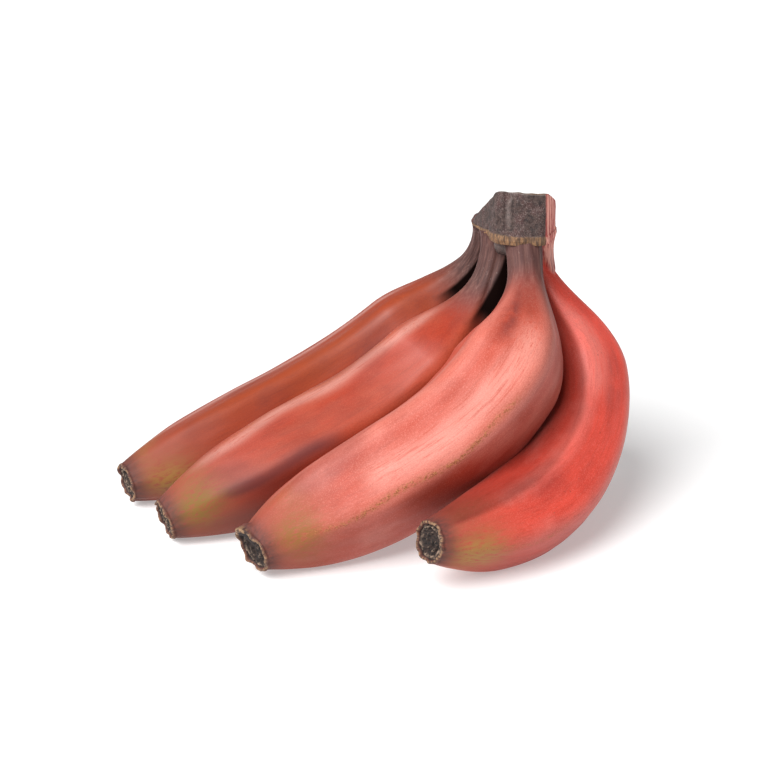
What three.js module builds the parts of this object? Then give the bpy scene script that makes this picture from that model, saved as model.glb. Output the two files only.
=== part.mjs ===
// A hand of four red bananas joined at their crown, lying on its finger tips with the crown up.
// Units are millimetres. +Z is up, +X is the long way of the hand, and z = 0 is the surface it lies on.
import * as THREE from 'three';

// Heights of the joint between the fingers and the crown.
const STALK_TOP_Z = 101.7;
const CROWN_BOTTOM_Z = 102.0;

// Laws that all the fingers share: radii in mm, the rest as fractions of the finger's length.
const SHOULDER_SPAN = 0.26;
const TAPER_START = 0.57;
const TAPER_POWER = 3.1;
const RIDGE_COUNT = 5;
const RIDGE_HEIGHT = 0.026;
const RIDGE_SHARPNESS = 0.3;
const RIDGE_FADE = 0.12;
const END_BEVEL_SHARE = 0.82;
const END_BEVEL_DEPTH = 0.9;

// How finely the fingers are cut into rings and sides.
const FINGER_RINGS = 44;
const FINGER_SIDES = 20;
const SPINE_SAMPLES = 400;

// Each finger: the six control points of its spine from the crown to the flower end, its greatest
// radius, its stalk's radius, where its shoulder starts, the radius of its flower end, and how far its
// ridges are turned.
const FINGERS = [
  {
    name: 'banana_far_left',
    spine: [[47, 56, 102], [46, 69, 78], [27, 75, 59], [-1, 61, 34], [-39, 33, 22], [-97, 3, 10.2]],
    radius: 18.8,
    stalkRadius: 5.2,
    shoulder: 0.08,
    endRadius: 7.8,
    ridgeTurn: 10,
  },
  {
    name: 'banana_second',
    spine: [[49.5, 43, 102], [48, 37, 74], [21, 22, 37], [-4, 10, 33.5], [-35, -10, 23], [-78, -31, 9.2]],
    radius: 19.9,
    stalkRadius: 5.2,
    shoulder: 0.09,
    endRadius: 7.9,
    ridgeTurn: 20,
  },
  {
    name: 'banana_front',
    spine: [[59, 31, 102], [62, 8, 69], [57, -17, 58], [32, -31, 32.5], [-13, -37, 20.3], [-42.5, -61.5, 10.5]],
    radius: 21.4,
    stalkRadius: 6.8,
    shoulder: 0.075,
    endRadius: 8,
    ridgeTurn: 0,
  },
  {
    name: 'banana_right',
    spine: [[61.5, 46.5, 102], [64, 44, 66.5], [104.5, 30, 54.5], [86, -4, 17.7], [64, -42, 10.5], [21, -73, 19.4]],
    radius: 17.8,
    stalkRadius: 5.8,
    shoulder: 0.085,
    endRadius: 7.7,
    ridgeTurn: 15,
  },
];

// The crown: its outline where the stalks meet it, the line that it narrows towards, and its top, which is
// highest at the front left corner and falls to the back, the left and the right. Each level gives its
// share of the way up, and how much of the outline is left there.
const CROWN_OUTLINE = [
  [41, 60], [41, 50], [45, 37], [46.7, 30], [48.8, 26.2], [53, 24], [58.5, 22.6],
  [64.5, 22.6], [67.6, 24], [69.4, 28], [72.8, 40], [71.5, 51], [61, 58], [50, 64],
];
const CROWN_NARROWS_TO_X = 60;
const CROWN_NARROWS_TO_Y = 42;
const CROWN_TOP_Z = 122.4;
const CROWN_TOP_CORNER_X = 48;
const CROWN_TOP_FRONT_Y = 27;
const CROWN_BACK_SLOPE = 0.42;
const CROWN_LEFT_SLOPE = 0.9;
const CROWN_RIGHT_SLOPE = 0.06;
const CROWN_LEVELS = [
  { share: 0, width: 0.97, depth: 0.97 },
  { share: 0.06, width: 1.0, depth: 1.0 },
  { share: 0.18, width: 1.0, depth: 1.0 },
  { share: 0.24, width: 0.975, depth: 0.975 },
  { share: 0.5, width: 0.97, depth: 0.965 },
  { share: 0.75, width: 0.965, depth: 0.955 },
  { share: 0.96, width: 0.955, depth: 0.94 },
  { share: 1.0, width: 0.92, depth: 0.91 },
];
const CROWN_SIDES = 48;

const SKIN_RED = '#b4503f';
const SKIN_ROUGHNESS = 0.45;
const CROWN_BROWN = '#574644';
const CROWN_ROUGHNESS = 0.9;

// Rises smoothly from 0 to 1 as x goes from 0 to 1, and stays level outside that.
function smoothRise(x) {
  const t = THREE.MathUtils.clamp(x, 0, 1);
  return t * t * (3 - 2 * t);
}

// A Bezier curve of degree five through the finger's control points, with its direction and length.
function makeSpine(controls) {
  const degree = controls.length - 1;
  const points = [];
  for (let i = 0; i <= SPINE_SAMPLES; i += 1) {
    let row = controls.map(([x, y, z]) => new THREE.Vector3(x, y, z));
    for (let level = 0; level < degree; level += 1) {
      row = row.slice(1).map((point, k) => row[k].clone().lerp(point, i / SPINE_SAMPLES));
    }
    points.push(row[0]);
  }
  const lengths = [0];
  for (let i = 1; i < points.length; i += 1) {
    lengths.push(lengths[i - 1] + points[i].distanceTo(points[i - 1]));
  }
  return { points, lengths };
}

// The point and direction of a spine at a share of its length.
function alongSpine(spine, share) {
  const { points, lengths } = spine;
  const target = share * lengths[lengths.length - 1];
  let i = 1;
  while (i < lengths.length - 1 && lengths[i] < target) {
    i += 1;
  }
  const step = (target - lengths[i - 1]) / (lengths[i] - lengths[i - 1]);
  const point = points[i - 1].clone().lerp(points[i], step);
  const before = points[Math.max(i - 2, 0)];
  const after = points[Math.min(i + 1, points.length - 1)];
  return { point, direction: after.clone().sub(before).normalize() };
}

// The radius of a finger at a share of its length, before its ridges.
function fingerRadius(finger, share) {
  const swell = smoothRise((share - finger.shoulder) / SHOULDER_SPAN);
  const body = finger.stalkRadius + (finger.radius - finger.stalkRadius) * swell;
  const tail = THREE.MathUtils.clamp((share - TAPER_START) / (1 - TAPER_START), 0, 1);
  const lost = (1 - finger.endRadius / finger.radius) * tail ** TAPER_POWER;
  return body * (1 - lost);
}

// How far the five soft ridges of the peel lift it, as a share of the radius.
function ridgeLift(finger, share, angle) {
  const turned = RIDGE_COUNT * (angle - THREE.MathUtils.degToRad(finger.ridgeTurn));
  const wave = Math.cos(turned) + RIDGE_SHARPNESS * Math.cos(2 * turned);
  const fade = smoothRise(share / RIDGE_FADE) * smoothRise((1 - share) / RIDGE_FADE);
  return RIDGE_HEIGHT * wave * fade;
}

// Joins rings of equal length into one closed surface, with a flat fan over the first and the last.
function loft(rings) {
  const sides = rings[0].length;
  const positions = rings.flat().flatMap((point) => point.toArray());
  const faces = [];
  for (let r = 0; r < rings.length - 1; r += 1) {
    for (let s = 0; s < sides; s += 1) {
      const next = (s + 1) % sides;
      const a = r * sides + s;
      const b = r * sides + next;
      const c = (r + 1) * sides + next;
      const d = (r + 1) * sides + s;
      faces.push(a, b, c, a, c, d);
    }
  }
  const lastRing = (rings.length - 1) * sides;
  const firstCentre = rings.length * sides;
  for (const ring of [rings[0], rings[rings.length - 1]]) {
    const centre = ring.reduce((sum, point) => sum.add(point), new THREE.Vector3());
    positions.push(...centre.divideScalar(sides).toArray());
  }
  for (let s = 0; s < sides; s += 1) {
    const next = (s + 1) % sides;
    faces.push(firstCentre, next, s);
    faces.push(firstCentre + 1, lastRing + s, lastRing + next);
  }
  const geometry = new THREE.BufferGeometry();
  geometry.setAttribute('position', new THREE.Float32BufferAttribute(positions, 3));
  geometry.setIndex(faces);
  geometry.computeVertexNormals();
  return geometry;
}

// One finger with its stalk. Its rings stand square to the spine, and turn in the plane that it bends in.
// The top of the stalk is cut level, to sit under the crown.
function makeFinger(finger) {
  const spine = makeSpine(finger.spine);
  const start = spine.points[0];
  const middle = spine.points[SPINE_SAMPLES / 2];
  const end = spine.points[SPINE_SAMPLES];
  const bendAxis = end.clone().sub(start).cross(middle.clone().sub(start)).normalize();
  const rings = [];
  const addRing = (share, radius, shift) => {
    const { point, direction } = alongSpine(spine, share);
    const outward = direction.clone().cross(bendAxis).normalize();
    const sideways = direction.clone().cross(outward);
    const centre = point.addScaledVector(direction, shift);
    const ring = [];
    for (let s = 0; s < FINGER_SIDES; s += 1) {
      const angle = (2 * Math.PI * s) / FINGER_SIDES;
      const reach = radius * (1 + ridgeLift(finger, share, angle));
      const corner = centre.clone();
      corner.addScaledVector(outward, reach * Math.cos(angle));
      corner.addScaledVector(sideways, reach * Math.sin(angle));
      if (share === 0) {
        corner.addScaledVector(direction, (STALK_TOP_Z - corner.z) / direction.z);
      }
      ring.push(corner);
    }
    rings.push(ring);
  };
  for (let i = 0; i <= FINGER_RINGS; i += 1) {
    if (i !== 1) {
      const share = i / FINGER_RINGS;
      addRing(share, fingerRadius(finger, share), 0);
    }
  }
  addRing(1, finger.endRadius * END_BEVEL_SHARE, END_BEVEL_DEPTH);
  return loft(rings);
}

// The height of the crown's top over a point of its outline.
function crownTop(x, y) {
  const back = CROWN_BACK_SLOPE * Math.max(y - CROWN_TOP_FRONT_Y, 0);
  const left = CROWN_LEFT_SLOPE * Math.max(CROWN_TOP_CORNER_X - x, 0);
  const right = CROWN_RIGHT_SLOPE * Math.max(x - CROWN_TOP_CORNER_X, 0);
  return CROWN_TOP_Z - back - left - right;
}

// The crown: one rounded outline, repeated up the levels as it narrows, under its sloping top.
function makeCrown() {
  const corners = CROWN_OUTLINE.map(([x, y]) => new THREE.Vector3(x, y, 0));
  const outline = new THREE.CatmullRomCurve3(corners, true).getSpacedPoints(CROWN_SIDES).slice(0, CROWN_SIDES);
  const rings = CROWN_LEVELS.map(({ share, width, depth }) => outline.map((point) => {
    const x = CROWN_NARROWS_TO_X + (point.x - CROWN_NARROWS_TO_X) * width;
    const y = CROWN_NARROWS_TO_Y + (point.y - CROWN_NARROWS_TO_Y) * depth;
    return new THREE.Vector3(x, y, THREE.MathUtils.lerp(CROWN_BOTTOM_Z, crownTop(x, y), share));
  }));
  return loft(rings);
}

const hand = new THREE.Group();
hand.name = 'red_banana_hand';

for (const finger of FINGERS) {
  const skin = new THREE.MeshStandardMaterial({ color: SKIN_RED, roughness: SKIN_ROUGHNESS, metalness: 0 });
  const mesh = new THREE.Mesh(makeFinger(finger), skin);
  mesh.name = finger.name;
  hand.add(mesh);
}

const bark = new THREE.MeshStandardMaterial({ color: CROWN_BROWN, roughness: CROWN_ROUGHNESS, metalness: 0 });
const crown = new THREE.Mesh(makeCrown(), bark);
crown.name = 'crown';
hand.add(crown);

export default hand;
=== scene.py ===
"""A hand of four red bananas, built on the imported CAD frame, with its crown, dried flower ends and stage."""

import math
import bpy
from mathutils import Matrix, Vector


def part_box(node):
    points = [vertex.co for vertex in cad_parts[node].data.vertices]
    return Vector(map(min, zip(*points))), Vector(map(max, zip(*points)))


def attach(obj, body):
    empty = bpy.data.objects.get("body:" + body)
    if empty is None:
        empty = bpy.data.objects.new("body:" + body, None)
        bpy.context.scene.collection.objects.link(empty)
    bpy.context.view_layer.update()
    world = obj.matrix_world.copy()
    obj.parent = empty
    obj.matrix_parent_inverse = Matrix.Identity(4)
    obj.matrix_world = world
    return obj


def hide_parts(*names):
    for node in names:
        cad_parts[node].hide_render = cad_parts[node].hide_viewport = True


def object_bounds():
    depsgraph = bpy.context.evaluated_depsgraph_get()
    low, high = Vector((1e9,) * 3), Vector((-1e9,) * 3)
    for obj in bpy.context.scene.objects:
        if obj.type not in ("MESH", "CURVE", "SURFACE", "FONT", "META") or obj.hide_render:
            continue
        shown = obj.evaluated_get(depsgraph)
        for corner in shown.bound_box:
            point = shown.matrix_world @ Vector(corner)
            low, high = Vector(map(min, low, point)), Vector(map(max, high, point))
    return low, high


bl_info = {
    "name": "Red banana hand",
    "version": (1, 0, 0),
    "blender": (4, 5, 0),
    "location": "3D View > Sidebar > Bananas",
    "description": "Builds the fingers, crown, flower ends and stage of a hand of red bananas",
    "category": "Add Mesh",
}

import bpy
import numpy as np
from mathutils import Vector

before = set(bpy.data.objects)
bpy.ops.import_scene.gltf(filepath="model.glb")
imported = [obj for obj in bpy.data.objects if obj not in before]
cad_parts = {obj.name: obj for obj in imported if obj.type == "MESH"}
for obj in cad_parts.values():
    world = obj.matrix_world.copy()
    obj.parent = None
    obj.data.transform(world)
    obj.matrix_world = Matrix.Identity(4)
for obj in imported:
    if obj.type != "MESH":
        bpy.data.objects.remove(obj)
CAD_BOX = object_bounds()

MM = 0.001

# ---------------------------------------------------------------------------
# The hand's driving sizes, in millimetres
# ---------------------------------------------------------------------------

SHOULDER_SPAN = 0.26    # share of the length over which the stalk swells to the body
TAPER_START = 0.57      # share of the length where the body starts to narrow to its end
TAPER_POWER = 3.1       # how late it narrows: higher is later
RIDGE_COUNT = 5
RIDGE_WIDTH = 22.0      # how narrow a ridge's crest is: higher is narrower
FLARE_REACH = 5.5       # how far below the crown the widening fades
RIDGE_LIFT = 0.12       # share of the radius between a ridge and a flat
BODY_RINGS = 360        # rings along a finger, then along the lip that it ends in
LIP_RINGS = 20
FINGER_SIDES = 216

FLOOR_EASE = 0.5        # how softly the peel flattens where it rests on the floor

AIM_OFFSET = (4.0, 5.0, -10.2)      # from the middle of the hand's box to the point the camera looks at
KEY_FROM = (-0.5, -0.5, 0.71)       # where the soft key light comes from

TORN_SIDE = (0.9, -0.44, 0.0)       # the way that the torn side of the last stalk faces
TORN_REACH = 23.0                   # how far below the crown it is torn
TORN_HALF_WIDTH = 58.0              # half its width at the crown, in degrees round the stalk
KNOB_SIDE = (-0.65, 0.0, 0.76)      # the way that the corky knob on the front finger's end faces

# How one finger is described. Sides are in degrees round it, from the outside of its bend, and shares are of
# its length from the crown.
#   spine            control points from the crown to the flower end
#   radius           the greatest; stalk and end are the radii at the two ends, and shoulder is the share
#                    where it starts to swell
#   turn             how far its ridges are turned
#   swell            hills on its neck or belly: share, spread, side, height
#   dry              how far the grey stalk reaches, and over what length it fades
#   flare            how much the stalk widens at the crown
#   knob, torn       1 where it has the corky knob or the torn side
#   under            how strongly its underside is darkened: partly the deeper red the peel keeps underneath, partly painted shade
#   bloom, edge   pale bands of painted highlight and painted sheen, scar a corky one and streak a bruised one: side, first and last share, strength
#   shaded           painted shade, in the gaps between the necks and as the front finger's cast shadow on the right one: side, half its width, widening per length, first and last share, strength
#   olive            the patch that ripens last: share, side
FINGERS = {
    "banana_far_left": {
        "slot": "peel_far_left", "seed": 11,
        "spine": [(47, 56, 102), (46, 69, 78), (27, 75, 59), (-1, 61, 34), (-39, 33, 22), (-97, 3, 10.2)],
        "radius": 18.8, "stalk": 5.2, "shoulder": 0.08, "end": 7.8, "turn": 10.0,
        "swell": [], "dry": (22.0, 30.0), "flare": 2.0, "knob": 0.0, "torn": 0.0, "under": 0.9,
        "bloom": (12.0, 0.3, 0.8, 0.2), "edge": (53.0, 0.22, 0.9, 0.7),
        "scar": (298.0, 0.5, 0.9, 0.3), "streak": (330.0, 0.2, 0.45, 0.3),
        "shaded": (270.0, 27.0, 217.0, 0.0, 0.17, 1.0), "olive": (0.935, 300.0),
    },
    "banana_second": {
        "slot": "peel_second", "seed": 23,
        "spine": [(49.5, 43, 102), (48, 37, 74), (21, 22, 37), (-4, 10, 33.5), (-35, -10, 23), (-78, -31, 9.2)],
        "radius": 19.9, "stalk": 5.2, "shoulder": 0.09, "end": 7.9, "turn": 2.0,
        "swell": [(0.145, 0.1, 195.0, 7.0)], "dry": (19.0, 30.0),
        "flare": 2.0, "knob": 0.0, "torn": 0.0, "under": 1.0,
        "bloom": (310.0, 0.3, 0.8, 0.2), "edge": (354.0, 0.18, 0.88, 0.65),
        "scar": (2.0, 0.3, 0.8, 0.3), "streak": (289.0, 0.58, 0.86, 1.0),
        "shaded": (215.0, 30.0, 217.0, 0.0, 0.17, 1.0), "olive": (0.95, 285.0),
    },
    "banana_front": {
        "slot": "peel_front", "seed": 37,
        "spine": [(59, 31, 102), (62, 8, 69), (57, -17, 58), (32, -31, 32.5), (-13, -37, 20.3),
                  (-42.5, -61.5, 10.5)],
        "radius": 21.4, "stalk": 6.8, "shoulder": 0.075, "end": 8.0, "turn": 24.0,
        "swell": [], "dry": (13.0, 34.0), "flare": 0.8, "knob": 1.0, "torn": 0.0, "under": 0.3,
        "bloom": (263.0, 0.2, 0.7, 0.75), "edge": (328.0, 0.3, 0.88, 0.45),
        "scar": (240.0, 0.36, 0.86, 1.0), "streak": (290.0, 0.12, 0.26, 0.8),
        "shaded": (0.0, 0.0, 0.0, 0.0, 0.0, 0.0), "olive": (0.925, 247.0),
    },
    "banana_right": {
        "slot": "peel_right", "seed": 41,
        "spine": [(61.5, 46.5, 102), (64, 44, 66.5), (104.5, 30, 54.5), (86, -4, 17.7), (64, -42, 10.5),
                  (21, -73, 19.4)],
        "radius": 17.4, "stalk": 5.8, "shoulder": 0.085, "end": 7.7, "turn": 15.0,
        "swell": [(0.68, 0.15, 180.0, 2.0), (0.11, 0.07, 43.0, 2.5)], "dry": (3.0, 14.0),
        "flare": 2.0, "knob": 0.0, "torn": 1.0, "under": 0.5,
        "bloom": (290.0, 0.15, 0.4, 0.5), "edge": (0.0, 0.0, 0.0, 0.0),
        "scar": (231.0, 0.7, 0.95, 0.4), "streak": (303.0, 0.3, 0.5, 0.2),
        "shaded": (0.0, 39.0, 32.0, 0.1, 0.95, 0.5), "olive": (0.93, 228.0),
    },
}


# ---------------------------------------------------------------------------
# Small tools
# ---------------------------------------------------------------------------

def rise(x):
    """0 below 0, 1 above 1, and 3x^2 - 2x^3 between."""
    x = np.clip(x, 0.0, 1.0)
    return x * x * (3.0 - 2.0 * x)


def bump(x, centre, width):
    """A soft hill, exp of minus the square of the distance from centre over width."""
    return np.exp(-((x - centre) / width) ** 2)


def turn_apart(angle, other):
    """The signed angle between two directions in radians, kept within half a turn."""
    return (angle - other + np.pi) % (2.0 * np.pi) - np.pi


def ripple(points, size, seed, waves=14):
    """Smooth noise of about unit height: the sum of sine waves of one wavelength in random directions."""
    rng = np.random.default_rng(seed)
    heading = rng.normal(size=(waves, 3))
    heading /= np.linalg.norm(heading, axis=1, keepdims=True)
    heading *= 2.0 * np.pi / (size * rng.uniform(0.7, 1.4, size=(waves, 1)))
    phase = rng.uniform(0.0, 2.0 * np.pi, waves)
    total = np.zeros(points.shape[:-1])
    for k in range(waves):
        total += np.sin(points @ heading[k] + phase[k])
    return total / math.sqrt(waves)


def linear(hex_colour):
    """An sRGB hex colour as linear red, green, blue and alpha."""
    parts = [int(hex_colour[i:i + 2], 16) / 255.0 for i in (1, 3, 5)]
    return tuple(c / 12.92 if c <= 0.04045 else ((c + 0.055) / 1.055) ** 2.4 for c in parts) + (1.0,)


def surface_object(name, grid, masks, wrap=True, close_first=True, close_last=True):
    """A mesh object from a grid of points in mm, rings by sides, with a fan over each closed end.

    masks maps an attribute's name to one number, or one vector of three, for each grid point."""
    rings, sides = grid.shape[:2]
    points = grid.reshape(-1, 3)
    index = np.arange(rings * sides).reshape(rings, sides)
    following = np.roll(index, -1, axis=1)
    if not wrap:
        index, following = index[:, :-1], following[:, :-1]
    quads = np.stack([index[:-1], following[:-1], following[1:], index[1:]], axis=-1).reshape(-1, 4)
    caps = []
    extra = []
    for ring, closed, flip in ((0, close_first, True), (rings - 1, close_last, False)):
        if closed:
            middle = len(points) + len(extra)
            extra.append(grid[ring].mean(axis=0))
            a, b = ring * sides + np.arange(sides), ring * sides + (np.arange(sides) + 1) % sides
            if flip:
                a, b = b, a
            caps.append(np.stack([np.full(sides, middle), a, b], axis=-1))
    if extra:
        points = np.vstack([points, np.array(extra)])
    tris = np.concatenate(caps) if caps else np.zeros((0, 3), int)
    mesh = bpy.data.meshes.new(name)
    mesh.vertices.add(len(points))
    mesh.vertices.foreach_set("co", (points * MM).astype(np.float32).ravel())
    corners = np.concatenate([quads.ravel(), tris.ravel()])
    mesh.loops.add(len(corners))
    mesh.loops.foreach_set("vertex_index", corners.astype(np.int32))
    starts = np.concatenate([np.arange(len(quads)) * 4, len(quads) * 4 + np.arange(len(tris)) * 3])
    mesh.polygons.add(len(starts))
    mesh.polygons.foreach_set("loop_start", starts.astype(np.int32))
    mesh.update(calc_edges=True)
    mesh.polygons.foreach_set("use_smooth", np.ones(len(starts), bool))
    for key, values in masks.items():
        flat = np.asarray(values, float).reshape(rings * sides, -1)
        ends = [flat[ring * sides:(ring + 1) * sides].mean(axis=0) for ring, closed in
                ((0, close_first), (rings - 1, close_last)) if closed]
        if ends:
            flat = np.vstack([flat, np.array(ends)])
        if flat.shape[1] == 3:
            mesh.attributes.new(key, "FLOAT_VECTOR", "POINT").data.foreach_set("vector", flat.ravel())
        else:
            mesh.attributes.new(key, "FLOAT", "POINT").data.foreach_set("value", flat.ravel())
    mesh.validate()
    piece = bpy.data.objects.new(name, mesh)
    bpy.context.scene.collection.objects.link(piece)
    return piece


def add_node(tree, kind, links=None, **settings):
    """Adds a node. A setting whose name is a socket's sets that socket, the others set the node's own
    properties, and links maps a socket to the output that feeds it. Sockets go by name or number."""
    node = tree.nodes.new(kind)
    for key, value in settings.items():
        if hasattr(node, key):
            setattr(node, key, value)
        else:
            node.inputs[key.replace("_", " ")].default_value = value
    for key, output in (links or {}).items():
        tree.links.new(output, node.inputs[key])
    return node


def new_material(name):
    """An empty node material, with its tree, its surface shader and the shader's name for linking."""
    material = bpy.data.materials.new(name)
    material.use_nodes = True
    tree = material.node_tree
    tree.nodes.clear()
    shader = add_node(tree, "ShaderNodeBsdfPrincipled")
    add_node(tree, "ShaderNodeOutputMaterial", links={"Surface": shader.outputs[0]})
    return material, tree, shader


def mask_of(tree, name):
    """The number that a mesh attribute holds."""
    return add_node(tree, "ShaderNodeAttribute", attribute_name=name).outputs["Fac"]


def stretched_noise(tree, place, grain, detail=4.0, roughness=0.55):
    """Noise whose grains measure grain = (across, across, along) in mm on the straightened peel."""
    mapping = add_node(tree, "ShaderNodeMapping", {"Vector": place}, vector_type="POINT")
    mapping.inputs["Scale"].default_value = tuple(1.0 / (g * MM) for g in grain)
    noise = add_node(tree, "ShaderNodeTexNoise", {"Vector": mapping.outputs[0]}, noise_dimensions="3D")
    noise.inputs["Scale"].default_value = 1.0
    noise.inputs["Detail"].default_value = detail
    noise.inputs["Roughness"].default_value = roughness
    return noise.outputs["Fac"]


def between(tree, value, low, high):
    """value spread from 0 at low to 1 at high, smoothly, and held there."""
    spread = add_node(tree, "ShaderNodeMapRange", {"Value": value}, interpolation_type="SMOOTHSTEP")
    spread.inputs["From Min"].default_value = low
    spread.inputs["From Max"].default_value = high
    return spread.outputs[0]


def combine(tree, operation, first, second, clamp=False):
    """Two values, each a socket or a number, put together by a maths operation."""
    node = add_node(tree, "ShaderNodeMath", operation=operation, use_clamp=clamp)
    for socket, value in zip(node.inputs, (first, second)):
        if isinstance(value, (int, float)):
            socket.default_value = value
        else:
            tree.links.new(value, socket)
    return node.outputs[0]


def tint(tree, share, under, over):
    """under turned towards over by share. Colours are sockets or linear colours."""
    node = add_node(tree, "ShaderNodeMix", data_type="RGBA", clamp_factor=True)
    for socket, value in ((node.inputs[0], share), (node.inputs[6], under), (node.inputs[7], over)):
        if isinstance(value, (int, float, tuple)):
            socket.default_value = value
        else:
            tree.links.new(value, socket)
    return node.outputs[2]


# ---------------------------------------------------------------------------
# Materials
# ---------------------------------------------------------------------------

# Red peel: body, the deeper red it is mottled with, the pale pink of its ridges and of the painted highlights
# and sheen on it, the olive that is left near the flower end, and the grey-brown of its stalk.
PEELS = {
    "peel_far_left": ("#95330f", "#6e2110", "#a04a28", "#8f652a", "#3f2825"),
    "peel_second": ("#a4341b", "#7c2310", "#b86248", "#7a5a1c", "#412926"),
    "peel_front": ("#b8452f", "#96321f", "#ea9f90", "#84591f", "#472b28"),
    "peel_right": ("#e84c3a", "#b43224", "#f69a8e", "#9c7238", "#663a34"),
}


def peel_material(name, body):
    """Ripe red banana peel, a thin waxed skin: satin gloss, streaked along the finger, mottled in reds, olive
    where it is least ripe, with corky tan scars and a dry grey-brown stalk. It also carries painted highlight
    and sheen bands, and painted shade on its underside and between the necks."""
    deep, pale, olive, stalk = (linear(colour) for colour in PEELS[name][1:])
    material, tree, shader = new_material(name)
    place = add_node(tree, "ShaderNodeAttribute", attribute_name="straight").outputs["Vector"]
    mottle = stretched_noise(tree, place, (9, 9, 20), 4.0)
    cloud = stretched_noise(tree, place, (26, 26, 44), 3.0)
    streak = stretched_noise(tree, place, (0.9, 0.9, 16), 4.0, 0.65)
    fleck = stretched_noise(tree, place, (0.8, 0.8, 1.5), 3.0, 0.6)
    grain = stretched_noise(tree, place, (0.35, 0.35, 0.5), 2.0, 0.5)
    colour = tint(tree, combine(tree, "MULTIPLY", between(tree, mottle, 0.42, 0.66), 0.4), body, deep)
    colour = tint(tree, combine(tree, "MULTIPLY", between(tree, cloud, 0.5, 0.68), 0.28), colour, pale)
    # paler ridges: partly the peel's own paler pink, partly painted sheen
    colour = tint(tree, combine(tree, "MULTIPLY", mask_of(tree, "crest"), 0.42), colour, pale)
    # painted highlight: pale bands where the key light shines on the peel
    bloom = combine(tree, "MULTIPLY", mask_of(tree, "bloom"), between(tree, streak, 0.2, 0.6))
    colour = tint(tree, bloom, colour, pale)
    # painted sheen: a thin pale line along the upper ridge
    edge = combine(tree, "MULTIPLY", mask_of(tree, "edge"), between(tree, streak, 0.15, 0.55))
    colour = tint(tree, edge, colour, linear("#cf978a"))
    colour = tint(tree, combine(tree, "MULTIPLY", between(tree, streak, 0.45, 0.7), 0.3), colour, deep)
    colour = tint(tree, combine(tree, "MULTIPLY", between(tree, grain, 0.5, 0.7), 0.22), colour, pale)
    colour = tint(tree, combine(tree, "MULTIPLY", between(tree, grain, 0.5, 0.3), 0.22), colour, deep)
    # darker where the peel faces down: partly its deeper red underneath, partly painted shade
    colour = tint(tree, combine(tree, "MULTIPLY", mask_of(tree, "under"), 0.9), colour, linear("#5c1806"))
    colour = tint(tree, combine(tree, "MULTIPLY", mask_of(tree, "tip"), 0.72), colour, linear("#8a4433"))
    shade = combine(tree, "MULTIPLY", mask_of(tree, "bruise"), between(tree, mottle, 0.25, 0.5))
    colour = tint(tree, combine(tree, "MULTIPLY", shade, 0.75), colour, linear("#5a2a2c"))
    green = combine(tree, "MULTIPLY", mask_of(tree, "olive"), between(tree, streak, 0.28, 0.56))
    colour = tint(tree, combine(tree, "MULTIPLY", green, 0.95), colour, olive)
    cork = combine(tree, "MULTIPLY", mask_of(tree, "scar"), between(tree, fleck, 0.46, 0.56))
    colour = tint(tree, combine(tree, "MULTIPLY", mask_of(tree, "scar"), 0.3), colour, linear("#a8562c"))
    cork_colour = tint(tree, between(tree, grain, 0.4, 0.6), linear("#7c3c1c"), linear("#b87a48"))
    colour = tint(tree, combine(tree, "MULTIPLY", cork, 0.85), colour, cork_colour)
    dots = combine(tree, "MULTIPLY", between(tree, fleck, 0.66, 0.72), 0.35)
    colour = tint(tree, dots, colour, linear("#74301f"))
    stalk_colour = tint(tree, between(tree, streak, 0.4, 0.7), stalk, linear("#66463f"))
    stalk_colour = tint(tree, combine(tree, "MULTIPLY", between(tree, fleck, 0.62, 0.72), 0.25), stalk_colour,
                        linear("#a08a84"))
    colour = tint(tree, combine(tree, "MULTIPLY", mask_of(tree, "stalk"), 0.97), colour, stalk_colour)
    flesh = tint(tree, between(tree, streak, 0.42, 0.58), linear("#983c38"), linear("#de9484"))
    colour = tint(tree, mask_of(tree, "torn"), colour, flesh)
    # painted shade: near black in the gaps between the necks, and the front finger's painted cast shadow on the
    # right finger
    colour = tint(tree, mask_of(tree, "shaded"), colour, linear("#100807"))
    wither = combine(tree, "MULTIPLY", mask_of(tree, "flower"), combine(tree, "ADD", 0.3, streak, True))
    colour = tint(tree, wither, colour, linear("#4c2c28"))
    lip_colour = tint(tree, between(tree, fleck, 0.42, 0.6), linear("#8f6f52"), linear("#33211b"))
    colour = tint(tree, mask_of(tree, "lip"), colour, lip_colour)
    colour = tint(tree, mask_of(tree, "hollow"), colour, linear("#1c1210"))
    tree.links.new(colour, shader.inputs["Base Color"])
    dry = combine(tree, "MAXIMUM", mask_of(tree, "stalk"), mask_of(tree, "lip"))
    dry = combine(tree, "MAXIMUM", combine(tree, "MAXIMUM", dry, cork), mask_of(tree, "tip"))
    rough = combine(tree, "ADD", combine(tree, "MULTIPLY", dry, 0.28), combine(tree, "MULTIPLY", mottle, 0.2))
    tree.links.new(combine(tree, "ADD", rough, 0.38), shader.inputs["Roughness"])
    shader.inputs["IOR"].default_value = 1.5
    # less gloss and sheen where shade is painted
    lit = combine(tree, "SUBTRACT", 1.0, mask_of(tree, "shaded"), True)
    tree.links.new(combine(tree, "MULTIPLY", lit, 0.5), shader.inputs["Specular IOR Level"])
    tree.links.new(combine(tree, "MULTIPLY", lit, 0.14), shader.inputs["Sheen Weight"])
    shader.inputs["Sheen Roughness"].default_value = 0.35
    shader.inputs["Sheen Tint"].default_value = linear("#ffc8c0")
    height = combine(tree, "ADD", combine(tree, "MULTIPLY", streak, 0.35),
                     combine(tree, "MULTIPLY", grain, 0.5))
    height = combine(tree, "ADD", height, combine(tree, "MULTIPLY", cork, 0.9))
    relief = add_node(tree, "ShaderNodeBump", {"Height": height})
    relief.inputs["Strength"].default_value = 0.4
    relief.inputs["Distance"].default_value = 0.22 * MM
    tree.links.new(relief.outputs[0], shader.inputs["Normal"])
    return material


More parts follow.
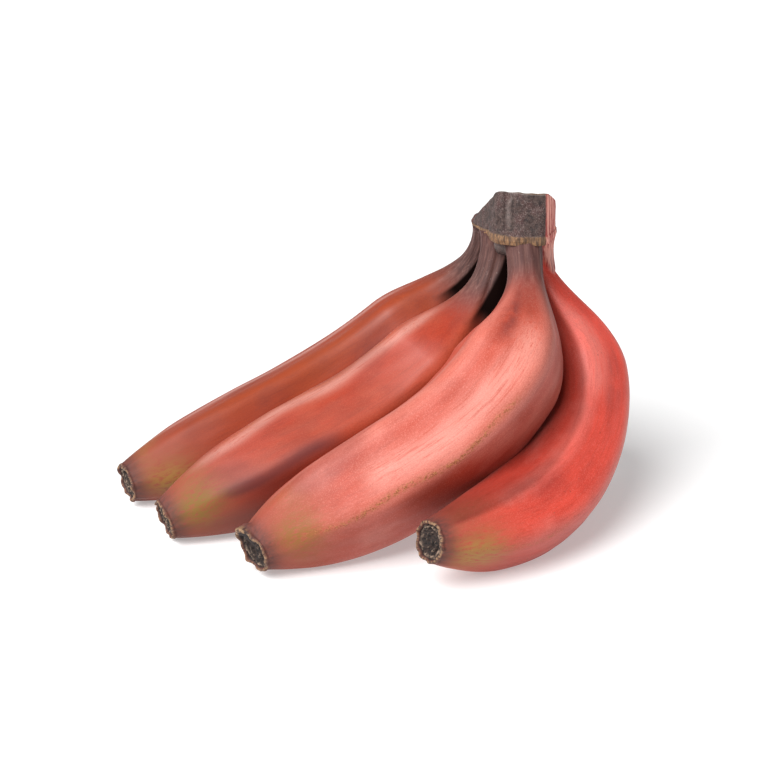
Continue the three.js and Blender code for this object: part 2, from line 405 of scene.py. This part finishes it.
def dried_flower_material():
    """Dried flower remains: black-brown papery tissue, tan where its edges catch the light."""
    material, tree, shader = new_material("dried_flower")
    place = add_node(tree, "ShaderNodeTexCoord").outputs["Object"]
    grain = stretched_noise(tree, place, (0.9, 0.9, 0.9), 4.0)
    colour = tint(tree, between(tree, grain, 0.35, 0.65), linear("#120c0b"), linear("#33231d"))
    high = combine(tree, "MULTIPLY", mask_of(tree, "height"), between(tree, grain, 0.35, 0.6))
    colour = tint(tree, combine(tree, "MULTIPLY", high, 0.7), colour, linear("#a58c78"))
    tree.links.new(colour, shader.inputs["Base Color"])
    shader.inputs["Roughness"].default_value = 0.85
    relief = add_node(tree, "ShaderNodeBump", {"Height": grain})
    relief.inputs["Strength"].default_value = 0.8
    relief.inputs["Distance"].default_value = 0.4 * MM
    tree.links.new(relief.outputs[0], shader.inputs["Normal"])
    return material


def crown_material():
    """The crown's dried skin: dull grey-brown and crusted, flecked with pale wax, with a tan corky rim, and
    painted near-black shade low on the skin between the stalks.
    """
    material, tree, shader = new_material("crown_bark")
    place = add_node(tree, "ShaderNodeTexCoord").outputs["Object"]
    crust = stretched_noise(tree, place, (1.3, 1.3, 1.7), 5.0, 0.7)
    fleck = stretched_noise(tree, place, (0.38, 0.38, 0.5), 3.0, 0.65)
    cloud = stretched_noise(tree, place, (5, 5, 7), 3.0)
    colour = tint(tree, between(tree, crust, 0.35, 0.65), linear("#271c1b"), linear("#4e3d38"))
    colour = tint(tree, combine(tree, "MULTIPLY", between(tree, cloud, 0.45, 0.65), 0.5), colour,
                  linear("#4e2f2e"))
    wax = combine(tree, "MULTIPLY", between(tree, fleck, 0.5, 0.66), between(tree, cloud, 0.3, 0.6))
    wax = combine(tree, "MAXIMUM", combine(tree, "MULTIPLY", wax, 0.6),
                  combine(tree, "MULTIPLY", mask_of(tree, "scuff"), between(tree, fleck, 0.3, 0.55)))
    colour = tint(tree, combine(tree, "MULTIPLY", wax, 0.75), colour, linear("#998b86"))
    fibre = stretched_noise(tree, place, (0.7, 0.7, 4.0), 3.0, 0.6)
    cork = tint(tree, between(tree, fibre, 0.35, 0.62), linear("#8f6c4c"), linear("#503c2f"))
    colour = tint(tree, mask_of(tree, "rim"), colour, cork)
    cut = tint(tree, between(tree, stretched_noise(tree, place, (1.3, 1.3, 14), 4.0), 0.44, 0.58),
               linear("#b04a44"), linear("#f0a898"))
    colour = tint(tree, mask_of(tree, "cut"), colour, cut)
    sawn = tint(tree, between(tree, crust, 0.35, 0.65), linear("#7d6049"), linear("#5d4736"))
    sawn = tint(tree, combine(tree, "MULTIPLY", between(tree, fleck, 0.5, 0.65), 0.6), sawn, linear("#3d2d24"))
    colour = tint(tree, mask_of(tree, "sawn"), colour, sawn)
    # painted shade: near black on the skin between the stalks, deep in the gaps between the necks
    gap_shade = tint(tree, between(tree, fibre, 0.35, 0.65), linear("#1d1211"), linear("#3d2a26"))
    colour = tint(tree, mask_of(tree, "gap"), colour, gap_shade)
    tree.links.new(colour, shader.inputs["Base Color"])
    shader.inputs["Roughness"].default_value = 0.8
    height = combine(tree, "ADD", crust, combine(tree, "MULTIPLY", fleck, 0.6))
    relief = add_node(tree, "ShaderNodeBump", {"Height": height})
    relief.inputs["Strength"].default_value = 0.6
    relief.inputs["Distance"].default_value = 0.3 * MM
    tree.links.new(relief.outputs[0], shader.inputs["Normal"])
    return material


def floor_material():
    """A plain matt white sheet."""
    material, _tree, shader = new_material("white_sheet")
    shader.inputs["Base Color"].default_value = linear("#d8d8d8")
    shader.inputs["Roughness"].default_value = 0.9
    shader.inputs["Emission Color"].default_value = (1.0, 1.0, 1.0, 1.0)
    shader.inputs["Emission Strength"].default_value = 0.34
    return material


# ---------------------------------------------------------------------------
# Fingers
# ---------------------------------------------------------------------------

def spine_frames(controls, shares):
    """Points, directions, outward and sideways vectors along a Bezier curve at shares of its length.

    The outward vector lies in the plane that the finger bends in, on the outside of the bend."""
    controls = np.array(controls, float)
    degree = len(controls) - 1
    t = np.linspace(0.0, 1.0, 1201)
    weights = np.stack([math.comb(degree, k) * t ** k * (1.0 - t) ** (degree - k)
                        for k in range(degree + 1)], 1)
    curve = weights @ controls
    slope = np.gradient(curve, t, axis=0)
    slope /= np.linalg.norm(slope, axis=1, keepdims=True)
    travelled = np.concatenate([[0.0], np.cumsum(np.linalg.norm(np.diff(curve, axis=0), axis=1))])
    target = shares * travelled[-1]
    points = np.stack([np.interp(target, travelled, curve[:, k]) for k in range(3)], 1)
    directions = np.stack([np.interp(target, travelled, slope[:, k]) for k in range(3)], 1)
    directions /= np.linalg.norm(directions, axis=1, keepdims=True)
    bend_axis = np.cross(curve[-1] - curve[0], curve[len(curve) // 2] - curve[0])
    bend_axis /= np.linalg.norm(bend_axis)
    outward = np.cross(directions, bend_axis)
    outward /= np.linalg.norm(outward, axis=1, keepdims=True)
    sideways = np.cross(directions, outward)
    return points, directions, outward, sideways, travelled[-1]


def body_radius(finger, share):
    """The stalk's radius swelling smoothly to the greatest one, less a power of the way to the end."""
    swelling = rise((share - finger["shoulder"]) / SHOULDER_SPAN)
    body = finger["stalk"] + (finger["radius"] - finger["stalk"]) * swelling
    tail = np.clip((share - TAPER_START) / (1.0 - TAPER_START), 0.0, 1.0)
    return body * (1.0 - (1.0 - finger["end"] / finger["radius"]) * tail ** TAPER_POWER)


def ridge_crests(finger, angle):
    """Five soft crests round the finger, each exp(width (cos(angle from it) - 1))."""
    crests = np.zeros_like(angle)
    for k in range(RIDGE_COUNT):
        centre = math.radians(finger["turn"] + 360.0 * k / RIDGE_COUNT)
        crests += np.exp(RIDGE_WIDTH * (np.cos(angle - centre) - 1.0))
    return crests


# The lip that the peel ends in: how far on along the spine in mm, and the share of the end's radius.
LIP_PROFILE = np.array([
    (0.0, 1.0), (0.5, 1.02), (1.0, 1.0), (1.35, 0.94), (1.2, 0.88), (0.6, 0.84), (-0.3, 0.8), (-1.2, 0.72),
])


def finger_grid(finger, ridge_lift):
    """The peel's surface on a grid of rings along the spine and sides around it, and its masks."""
    body_shares = np.linspace(0.0, 1.0, BODY_RINGS)
    steps = np.linspace(0.0, len(LIP_PROFILE) - 1.0, LIP_RINGS + 1)[1:]
    lip_shift = np.interp(steps, np.arange(len(LIP_PROFILE)), LIP_PROFILE[:, 0])
    lip_scale = np.interp(steps, np.arange(len(LIP_PROFILE)), LIP_PROFILE[:, 1])
    shares = np.concatenate([body_shares, np.ones(LIP_RINGS)])
    shift = np.concatenate([np.zeros(BODY_RINGS), lip_shift])
    scale = np.concatenate([np.ones(BODY_RINGS), lip_scale])
    centre, direction, outward, sideways, length = spine_frames(finger["spine"], shares)
    angle = np.linspace(0.0, 2.0 * np.pi, FINGER_SIDES, endpoint=False)[None, :]
    share = shares[:, None]
    from_crown = share * length
    from_end = (1.0 - share) * length
    radius = body_radius(finger, shares) + finger["flare"] * np.exp(-shares * length / FLARE_REACH)
    straight = np.stack(np.broadcast_arrays(
        radius[:, None] * np.cos(angle), radius[:, None] * np.sin(angle),
        from_crown + shift[:, None] + 3.0 * (1.0 - scale[:, None])), axis=-1)
    seed = finger["seed"]
    crests = ridge_crests(finger, angle)
    fade = rise(share / 0.2) * (1.0 - 0.65 * rise((share - 0.85) / 0.13))
    reach = radius[:, None] * (1.0 + ridge_lift * (crests - 0.43) * fade)
    reach = reach + 0.12 * fade * ripple(straight, 30.0, seed)
    reach = reach + 0.05 * ripple(straight * (1.0, 1.0, 0.25), 5.0, seed + 1)
    for centre_share, spread, side, height in finger["swell"]:
        lobe = rise(np.cos(angle - math.radians(side)))
        reach = reach + height * bump(share, centre_share, spread) * lobe
    end_zone = np.exp(-(from_end / 9.0) ** 1.5)
    pleats = np.cos(8.0 * angle + 1.2 * np.sin(angle * 2.0 + seed)) + 0.6 * np.cos(13.0 * angle + seed)
    reach = reach + 0.2 * end_zone * pleats
    stalk_zone = 1.0 - rise((from_crown - 12.0) / 22.0)
    reach = reach + 0.14 * stalk_zone * np.cos(11.0 * angle + 1.5 * np.sin(from_crown / 9.0 + seed))
    strip = torn_strip(finger, angle, from_crown, outward[0], sideways[0])
    narrowing = np.clip(1.0 - from_crown / TORN_REACH, 0.0, 1.0) ** 0.9
    reach = reach + strip * (3.0 + 2.8 * rise(from_crown / 5.0)) * narrowing
    torn = (0.35 * np.cos(5.0 * angle + seed) + 0.3 * np.cos(9.0 * angle + 2.0 * seed)
            + 0.07 * np.cos(17.0 * angle + seed))
    lip = np.concatenate([np.zeros(BODY_RINGS), np.ones(LIP_RINGS)])[:, None]
    knob = finger["knob"] * bump(turn_apart(angle, toward(KNOB_SIDE, outward[-1], sideways[-1])), 0.0, 0.46)
    forward = shift[:, None] * (1.0 + 0.7 * torn * lip) + 2.2 * knob * lip
    reach = reach * scale[:, None] * (1.0 + 0.015 * torn * lip)
    reach = reach + 2.6 * knob * bump(from_crown + 6.0 * lip * (1.0 - scale[:, None]), length, 2.2)
    grid = (centre[:, None] + outward[:, None] * (reach * np.cos(angle))[..., None]
            + sideways[:, None] * (reach * np.sin(angle))[..., None]
            + direction[:, None] * forward[..., None])
    grid[..., 2] = FLOOR_EASE * np.logaddexp(0.0, grid[..., 2] / FLOOR_EASE)
    patch = ripple(straight * (1.0, 1.0, 0.5), 26.0, seed + 2)
    tilt = outward[:, None, 2] * np.cos(angle) + sideways[:, None, 2] * np.sin(angle)
    dry_start, dry_span = finger["dry"]
    step = np.concatenate([np.zeros(BODY_RINGS), steps])[:, None] * np.ones_like(angle)
    patch_share, patch_side = finger["olive"]
    olive = bump(share, patch_share, 0.05) * bump(turn_apart(angle, math.radians(patch_side)), 0.0, 0.6)
    ring = bump(from_end, 11.0, 9.0) * rise((patch + 0.4) / 1.6)
    masks = {
        "straight": straight * MM,
        # paler ridge crests, partly painted sheen
        "crest": np.clip(crests - 0.35, 0.0, 1.0) * fade * (1.0 - rise((share - 0.75) / 0.2)),
        # darker on faces turned down, partly painted shade
        "under": finger["under"] * rise((0.32 - tilt) / 0.75),
        # a band of painted highlight
        "bloom": marks(finger["bloom"], share, angle, 0.3),
        # a thin line of painted sheen along the upper ridge
        "edge": marks(finger["edge"], share, angle, 0.13),
        "tip": bump(from_end, 0.0, 26.0) * np.ones_like(angle),
        # painted shade in the neck gaps, and a painted cast shadow on the right finger
        "shaded": shadow(finger["shaded"], share, angle),
        "stalk": np.clip(1.0 - rise((from_crown - dry_start - 3.0 * patch) / dry_span), 0.0, 1.0),
        "bruise": np.clip(0.35 * rise((patch - 0.6) / 1.2) + marks(finger["streak"], share, angle, 0.16),
                          0.0, 1.0),
        "olive": np.clip(olive + 0.4 * ring, 0.0, 1.0),
        "flower": np.clip(bump(from_end, 0.0, 4.6), 0.0, 1.0) * np.ones_like(angle),
        "scar": marks(finger["scar"], share, angle, 0.05),
        "torn": strip,
        "lip": np.clip(bump(step, 3.0, 1.3) * (step > 0) + knob * (step > 0), 0.0, 1.0),
        "hollow": rise((step - 4.2) / 1.4),
    }
    return grid, masks


def toward(side, outward, sideways):
    """The angle round a finger that faces a direction."""
    side = np.array(side)
    return math.atan2(side @ sideways, side @ outward)


def torn_strip(finger, angle, from_crown, outward, sideways):
    """Where the peel is torn open down the side of the last stalk: a band that narrows to a point."""
    middle = toward(TORN_SIDE, outward, sideways)
    half = math.radians(TORN_HALF_WIDTH) * np.sqrt(np.clip(1.0 - from_crown / TORN_REACH, 0.0, 1.0))
    band = rise((half - np.abs(turn_apart(angle, middle))) / 0.22 + 0.2)
    return band * rise((TORN_REACH - from_crown) / 3.0) * finger["torn"]


def marks(place, share, angle, width):
    """A narrow band along a finger, at (side in degrees, first share, last share, strength): corky scars,
    bruised streaks, and bands of painted highlight and painted sheen.
    """
    side, first, last, strength = place
    band = bump(turn_apart(angle, math.radians(side)) + 0.05 * np.sin(share * 25.0), 0.0, width)
    return strength * band * rise((share - first) / 0.1) * (1.0 - rise((share - last) / 0.08))


def shadow(place, share, angle):
    """A band of painted shade that widens along a finger, at (side, half its width, widening per length, all in
    degrees, first share, last share, strength)."""
    side, half, widening, first, last, strength = place
    inside = np.radians(half + widening * share) - np.abs(turn_apart(angle, math.radians(side)))
    along = rise((share - first) / 0.03) * (1.0 - rise((share - last) / 0.07))
    return strength * rise(inside / 0.2 + 0.5) * along


def flower_end_grid(finger):
    """A ragged disc in the peel's lip: its height is rings of ripples and noise, falling to its rim."""
    centre, direction, outward, sideways, _length = spine_frames(finger["spine"], np.array([1.0]))
    angle = np.linspace(0.0, 2.0 * np.pi, 140, endpoint=False)[None, :]
    out = np.linspace(0.02, 1.0, 56)[:, None]
    radius = finger["end"] * 0.86 * out * (1.0 + 0.02 * np.cos(7.0 * angle + finger["seed"]))
    flat = np.stack(np.broadcast_arrays(radius * np.cos(angle), radius * np.sin(angle), 0.0 * angle), axis=-1)
    rings = np.cos(out * 15.0 + 0.9 * ripple(flat, 5.0, finger["seed"] + 5))
    height = (0.4 * rings + 0.3 * ripple(flat, 2.4, finger["seed"] + 6)
              + 0.16 * ripple(flat, 1.1, finger["seed"] + 7))
    height = height * (1.0 - 0.5 * out ** 6) - 0.5 + 0.6 * out ** 2
    grid = (centre[:, None] + outward[:, None] * flat[..., :1] + sideways[:, None] * flat[..., 1:2]
            + direction[:, None] * height[..., None])
    back = (centre[:, None] + outward[:, None] * flat[-1:, :, :1] + sideways[:, None] * flat[-1:, :, 1:2]
            - direction[:, None] * 1.6)
    grid = np.concatenate([grid, back])
    high = np.clip(height * 1.6 + 0.2, 0.0, 1.0)
    high = np.concatenate([high, np.zeros((1, angle.shape[1]))])
    return grid, {"height": high}


# ---------------------------------------------------------------------------
# Crown
# ---------------------------------------------------------------------------

def closed_curve(corners, count):
    """A smooth closed curve through the corners (Catmull-Rom), as count evenly spaced points."""
    p = np.array(corners, float)
    before, after, later = np.roll(p, 1, axis=0), np.roll(p, -1, axis=0), np.roll(p, -2, axis=0)
    t = np.linspace(0.0, 1.0, 40, endpoint=False)[:, None, None]
    run = 0.5 * (2.0 * p + (after - before) * t + (2.0 * before - 5.0 * p + 4.0 * after - later) * t ** 2
                 + (3.0 * p - before - 3.0 * after + later) * t ** 3)
    run = run.transpose(1, 0, 2).reshape(-1, p.shape[1])
    loop = np.vstack([run, run[:1]])
    travelled = np.concatenate([[0.0], np.cumsum(np.linalg.norm(np.diff(loop, axis=0), axis=1))])
    target = np.linspace(0.0, travelled[-1], count, endpoint=False)
    return np.stack([np.interp(target, travelled, loop[:, k]) for k in range(p.shape[1])], 1)


CROWN_OUTLINE = [(41, 60), (41, 50), (45, 37), (46.7, 30), (48.8, 26.2), (53, 24), (58.5, 22.6), (64.5, 22.6),
                 (67.6, 24), (69.4, 28), (72.8, 40), (71.5, 51), (61, 58), (50, 64)]
CROWN_NARROWS_TO = (60.0, 42.0)
CROWN_TOP = 122.4
CROWN_CORNER = (48.0, 27.0)             # where the top is highest, in x and y
CROWN_SLOPES = (0.42, 0.9, 0.06)        # how steeply the top falls to the back, the left and the right
CUT_FROM_X = 67.0                       # where the side that was cut from the stem starts
CROWN_FOLDS = [(1.0, 51.5, 0.8), (0.7, 54.6, 0.7), (0.5, 49.0, 0.5)]    # front pleats: depth, x, width
# The skin between pairs of stalks: the two fingers, how deep it hangs, and half its thickness. The deep one
# between the second and right fingers hangs behind the gap between the front necks, where its dark lower part
# is painted shade.
WEBS = [
    ("banana_far_left", "banana_second", 7.0, 4.6), ("banana_second", "banana_front", 9.5, 5.0),
    ("banana_front", "banana_right", 12.0, 5.0), ("banana_second", "banana_right", 22.0, 5.0),
]
# Share of the way up from the underside to the sloping top, share of width left, share of depth left, cork.
CROWN_PROFILE = np.array([
    (0.00, 0.86, 0.86, 0.2), (-0.05, 0.95, 0.95, 0.5), (-0.03, 1.0, 1.0, 1.0), (0.05, 1.018, 1.02, 1.0),
    (0.135, 1.008, 1.01, 0.9), (0.165, 0.98, 0.98, 0.0), (0.35, 0.973, 0.97, 0.0), (0.50, 0.97, 0.965, 0.0),
    (0.65, 0.967, 0.96, 0.0), (0.80, 0.963, 0.952, 0.0), (0.92, 0.958, 0.944, 0.0), (0.975, 0.952, 0.938, 0.0),
    (1.00, 0.93, 0.92, 0.0), (0.99, 0.75, 0.75, 0.0), (0.98, 0.4, 0.4, 0.0), (0.975, 0.08, 0.08, 0.0),
])


def crown_top(x, y, highest):
    """The height of the crown's top, a plane to each side of its highest corner."""
    back, left, right = CROWN_SLOPES
    corner_x, corner_y = CROWN_CORNER
    return (highest - back * np.maximum(y - corner_y, 0.0) - left * np.maximum(corner_x - x, 0.0)
            - right * np.maximum(x - corner_x, 0.0))


def crown_grid(highest):
    """The crown's outline carried up its profile to a sloping top, crusted with noise and pleated on its
    left front. On top, the outline closes on the middle of the crown."""
    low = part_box("crown")[0][2] / MM
    outline = closed_curve(CROWN_OUTLINE, 320)
    steps = np.linspace(0.0, len(CROWN_PROFILE) - 1.0, 190)
    profile = np.stack([np.interp(steps, np.arange(len(CROWN_PROFILE)), CROWN_PROFILE[:, k])
                        for k in range(4)], 1)
    grid = np.empty((len(steps), len(outline), 3))
    on_top = rise((steps - 11.8) / 0.6)
    for axis in range(2):
        centre = outline[:, axis].mean()
        drift = rise((steps - 12.0) / 2.5)
        hold = CROWN_NARROWS_TO[axis] * (1.0 - drift) + centre * drift
        grid[..., axis] = hold[:, None] + (outline[None, :, axis] - hold[:, None]) * profile[:, 1 + axis, None]
    top = crown_top(grid[..., 0], grid[..., 1], highest)
    grid[..., 2] = low + profile[:, 0, None] * (top - low)
    outward = outline - outline.mean(axis=0)
    outward /= np.linalg.norm(outward, axis=1, keepdims=True)
    wall = rise((steps[:, None] - 4.0) / 2.0) * (1.0 - rise((steps[:, None] - 11.0) / 2.0))
    crust = 0.3 * ripple(grid, 8.0, 71) + 0.08 * ripple(grid, 2.5, 72) + 0.04 * ripple(grid, 1.1, 73)
    front = outward[:, 1] < -0.2
    fold = sum(depth * bump(grid[..., 0], at, width) for depth, at, width in CROWN_FOLDS)
    cut = rise((outline[:, 0] - CUT_FROM_X) / 0.8) * rise((50.0 - outline[:, 1]) / 3.0)
    cut = cut[None, :] * (1.0 - on_top[:, None])
    push = crust * (1.0 - 0.7 * cut) - 0.8 * fold * front * wall
    grid[..., :2] += outward[None] * push[..., None]
    grid[..., 2] += 0.15 * ripple(grid, 4.0, 74) * on_top[:, None]
    rim = profile[:, 3, None] * np.ones(len(outline))
    edge = bump(steps[:, None], 12.0, 0.45) * np.ones(len(outline))
    pale = bump(grid[..., 0] + 0.8 * ripple(grid, 7.0, 75), 53.0, 1.1) * front * wall
    scuff = np.clip(0.8 * edge + 0.5 * pale * rise((grid[..., 2] - 106) / 5.0), 0, 1)
    return grid, {"rim": np.clip(rim * (1.0 - cut), 0, 1), "cut": cut, "scuff": scuff, "gap": 0.0 * rim,
                  "sawn": on_top[:, None] * np.ones(len(outline))}


def web_grid(first, second, depth, thick):
    """The skin between two stalks just under the crown: an oval section carried from one stalk to the
    other, whose lower edge arches up in the middle."""
    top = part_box("crown")[0][2] / MM + 1.5
    a, b = (spine_frames(FINGERS[n]["spine"], np.array([0.03]))[0][0] for n in (first, second))
    t = np.linspace(0.0, 1.0, 60)[:, None]
    angle = np.linspace(0.0, 2.0 * np.pi, 64, endpoint=False)[None, :]
    arch = depth + 7.0 * (2.0 * t - 1.0) ** 2
    half = arch / 2.0
    along = b - a
    along[2] = 0.0
    across = np.array([-along[1], along[0], 0.0]) / np.linalg.norm(along)
    width = thick * (0.78 + 0.22 * (2.0 * t - 1.0) ** 2)
    grid = (a + t[..., None] * along)[:, :, :] * np.array([1.0, 1.0, 0.0]) * np.ones((1, 64, 1))
    grid = grid + across * (width * np.cos(angle))[..., None]
    grid[..., 2] += top - half + half * np.sin(angle)
    return grid


# ---------------------------------------------------------------------------
# Settings, operators and panel
# ---------------------------------------------------------------------------

def length_setting(name, description, millimetres):
    """A length for a user to change, with its default in mm."""
    return bpy.props.FloatProperty(name=name, description=description, default=millimetres * MM, min=0.0,
                                   precision=4, unit="LENGTH")


def colour_setting(name, description, hex_colour):
    """A colour for a user to change, with its default as sRGB hex."""
    return bpy.props.FloatVectorProperty(name=name, description=description, default=linear(hex_colour),
                                         size=4, min=0.0, max=1.0, subtype="COLOR")


class HandSettings(bpy.types.PropertyGroup):
    """Sizes, colours and light that a user may want to change."""

    far_left_radius: length_setting(
        "Far left radius", "Greatest radius of the finger at the back", FINGERS["banana_far_left"]["radius"])
    second_radius: length_setting(
        "Second radius", "Greatest radius of the second finger", FINGERS["banana_second"]["radius"])
    front_radius: length_setting(
        "Front radius", "Greatest radius of the finger in front", FINGERS["banana_front"]["radius"])
    right_radius: length_setting(
        "Right radius", "Greatest radius of the finger on the right", FINGERS["banana_right"]["radius"])
    ridge_lift: bpy.props.FloatProperty(
        name="Ridge height", description="Share of a finger's radius between a ridge and a flat",
        default=RIDGE_LIFT, min=0.0, max=0.3, subtype="FACTOR")
    crown_height: length_setting(
        "Crown height", "Height of the crown's highest corner above the floor", CROWN_TOP)
    far_left_red: colour_setting(
        "Far left peel", "Body colour of the finger at the back", PEELS["peel_far_left"][0])
    second_red: colour_setting(
        "Second peel", "Body colour of the second finger", PEELS["peel_second"][0])
    front_red: colour_setting(
        "Front peel", "Body colour of the finger in front", PEELS["peel_front"][0])
    right_red: colour_setting(
        "Right peel", "Body colour of the finger on the right", PEELS["peel_right"][0])
    floor_size: bpy.props.FloatProperty(
        name="Floor size", description="Side of the white sheet under the hand", default=12.0, unit="LENGTH")
    camera_distance: bpy.props.FloatProperty(
        name="Camera distance", description="From the camera to the middle of the hand",
        default=0.7065, unit="LENGTH")
    camera_height: bpy.props.FloatProperty(
        name="Camera height", description="Angle of the camera above the horizon",
        default=math.radians(20.0), subtype="ANGLE")
    key_strength: bpy.props.FloatProperty(
        name="Key light", description="Strength of the soft light from the upper left", default=4.8)
    key_softness: bpy.props.FloatProperty(
        name="Key softness", description="Width of the key light as seen from the hand",
        default=math.radians(46.0), subtype="ANGLE")
    fill_strength: bpy.props.FloatProperty(
        name="Fill light", description="Strength of the light from all round", default=0.22)


def wear(piece, material, node=None):
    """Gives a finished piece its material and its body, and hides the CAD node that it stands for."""
    piece.data.materials.append(material)
    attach(piece, "root")
    if node:
        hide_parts(node)


class HAND_OT_fingers(bpy.types.Operator):
    """Builds the four fingers with their stalks"""

    bl_idname = "hand.fingers"
    bl_label = "Build fingers"

    def execute(self, context):
        settings = context.scene.hand_settings
        for name, finger in FINGERS.items():
            key = name.removeprefix("banana_")
            radius = getattr(settings, key + "_radius") / MM
            body = tuple(getattr(settings, key + "_red"))
            grid, masks = finger_grid(dict(finger, radius=radius), settings.ridge_lift)
            piece = surface_object("peel_" + name, grid, masks)
            wear(piece, peel_material(finger["slot"], body), name)
        return {"FINISHED"}


class HAND_OT_flower_ends(bpy.types.Operator):
    """Builds the dried flower remains in the end of each finger"""

    bl_idname = "hand.flower_ends"
    bl_label = "Build flower ends"

    def execute(self, context):
        material = dried_flower_material()
        for name, finger in FINGERS.items():
            grid, masks = flower_end_grid(finger)
            piece = surface_object("flower_end_" + name, grid[::-1], {k: v[::-1] for k, v in masks.items()})
            wear(piece, material)
        return {"FINISHED"}


class HAND_OT_crown(bpy.types.Operator):
    """Builds the crown and the skin that joins the stalks under it"""

    bl_idname = "hand.crown"
    bl_label = "Build crown"

    def execute(self, context):
        material = crown_material()
        grid, masks = crown_grid(context.scene.hand_settings.crown_height / MM)
        wear(surface_object("crown_block", grid, masks), material, "crown")
        for number, (first, second, depth, thick) in enumerate(WEBS):
            web = web_grid(first, second, depth, thick)
            none = np.zeros(web.shape[:2])
            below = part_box("crown")[0][2] / MM - web[..., 2]
            # gap: painted shade on the web's lower part
            masks = {"rim": none, "cut": none, "sawn": none, "gap": rise((below - 6.0) / 4.0),
                     "scuff": 0.6 * bump(below, 3.5, 2.5)}
            wear(surface_object("stalk_web_%d" % number, web, masks), material)
        return {"FINISHED"}


class HAND_OT_stage(bpy.types.Operator):
    """Builds the white sheet, the soft light and the camera"""

    bl_idname = "hand.stage"
    bl_label = "Build stage"

    def execute(self, context):
        scene = context.scene
        settings = scene.hand_settings
        half = settings.floor_size / 2.0 / MM
        corners = np.array([[(-half, -half, 0), (half, -half, 0)], [(-half, half, 0), (half, half, 0)]], float)
        floor = surface_object("floor", corners, {}, wrap=False, close_first=False, close_last=False)
        floor.data.materials.append(floor_material())
        world = bpy.data.worlds.new("studio")
        world.use_nodes = True
        background = world.node_tree.nodes["Background"]
        background.inputs["Color"].default_value = (1.0, 1.0, 1.0, 1.0)
        background.inputs["Strength"].default_value = settings.fill_strength
        scene.world = world
        sun = bpy.data.lights.new("key", "SUN")
        sun.energy = settings.key_strength
        sun.angle = settings.key_softness
        key = bpy.data.objects.new("key", sun)
        key.rotation_euler = Vector(KEY_FROM).to_track_quat("Z", "Y").to_euler()
        scene.collection.objects.link(key)
        lens = bpy.data.cameras.new("camera")
        lens.lens = 85.0
        lens.sensor_width = 36.0
        camera = bpy.data.objects.new("camera", lens)
        low, high = (np.array(corner) for corner in CAD_BOX)
        target = (low + high) / 2.0 + np.array(AIM_OFFSET) * MM
        away = np.array([0.0, -math.cos(settings.camera_height), math.sin(settings.camera_height)])
        camera.location = target + away * settings.camera_distance
        camera.rotation_euler = (math.pi / 2.0 - settings.camera_height, 0.0, 0.0)
        scene.collection.objects.link(camera)
        scene.camera = camera
        scene.view_settings.view_transform = "Standard"
        return {"FINISHED"}


class HAND_PT_panel(bpy.types.Panel):
    """Lists the hand's builders and settings"""

    bl_idname = "HAND_PT_panel"
    bl_label = "Red banana hand"
    bl_space_type = "VIEW_3D"
    bl_region_type = "UI"
    bl_category = "Bananas"

    def draw(self, context):
        for builder in BUILDERS:
            self.layout.operator(builder.bl_idname)
        for key in HandSettings.__annotations__:
            self.layout.prop(context.scene.hand_settings, key)


BUILDERS = (HAND_OT_fingers, HAND_OT_flower_ends, HAND_OT_crown, HAND_OT_stage)
CLASSES = (HandSettings, *BUILDERS, HAND_PT_panel)


def register():
    for entry in CLASSES:
        bpy.utils.register_class(entry)
    bpy.types.Scene.hand_settings = bpy.props.PointerProperty(type=HandSettings)


def unregister():
    del bpy.types.Scene.hand_settings
    for entry in reversed(CLASSES):
        bpy.utils.unregister_class(entry)


def main():
    register()
    bpy.ops.hand.fingers()
    bpy.ops.hand.flower_ends()
    bpy.ops.hand.crown()
    bpy.ops.hand.stage()


if __name__ == "__main__":
    main()
